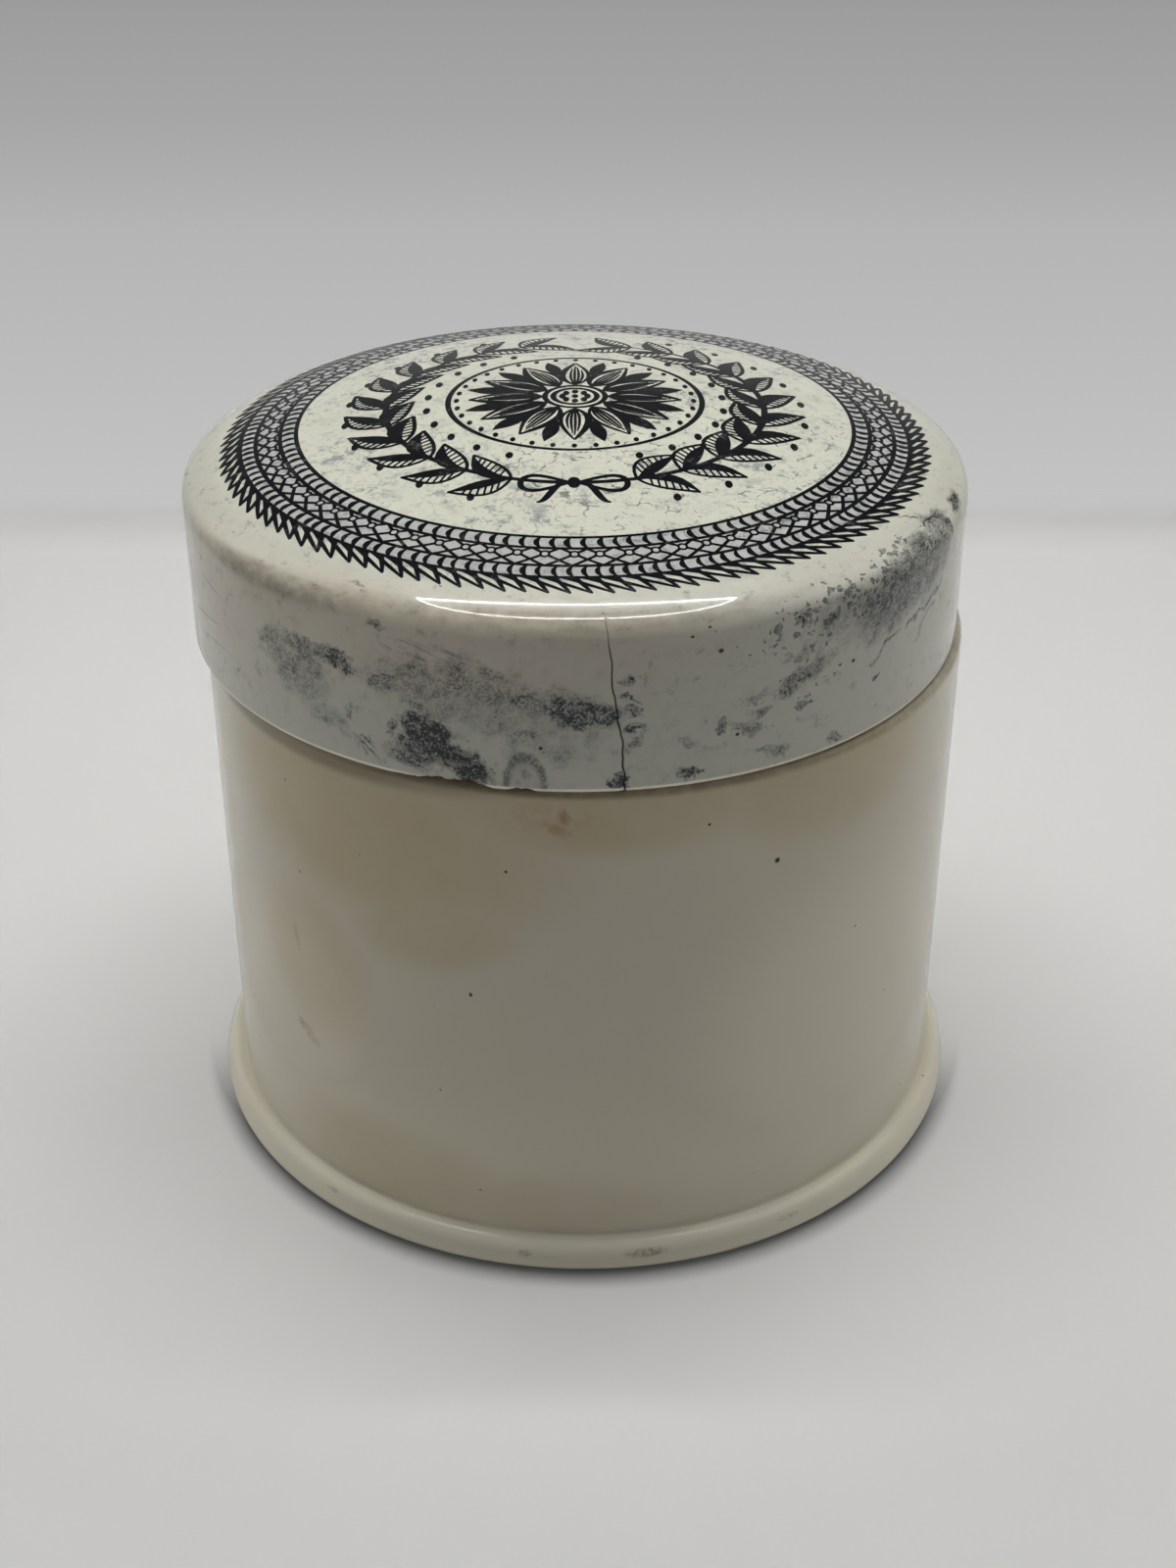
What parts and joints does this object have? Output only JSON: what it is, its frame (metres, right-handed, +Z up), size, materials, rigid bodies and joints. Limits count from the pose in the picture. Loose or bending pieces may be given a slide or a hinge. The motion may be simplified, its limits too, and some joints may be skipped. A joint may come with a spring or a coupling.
{
  "type": "cold cream pot",
  "caption": "Round glazed earthenware cold cream pot: straight wall on a beaded foot, a neck inside, and a slightly domed lift-off lid.",
  "frame": {"origin": "middle of the foot, on the surface that the pot stands on", "axes": "+Z up along the pot's axis, -Y towards the side that the picture shows, +X to its right"},
  "size_m": [0.08, 0.08, 0.0753],
  "materials": {
    "cream_glaze": "gloss, warm cream, lightly stained",
    "white_glaze": "gloss, off-white, printed with a dark border and crazed"
  },
  "bodies": {
    "pot": {"pot": "cream_glaze"},
    "lid": {"lid": "white_glaze"}
  },
  "joints": [
    {"name": "lid_lift", "type": "slide", "parent": "pot", "child": "lid", "axis": [0, 0, 1], "range_m": [0, 0.06]}
  ]
}
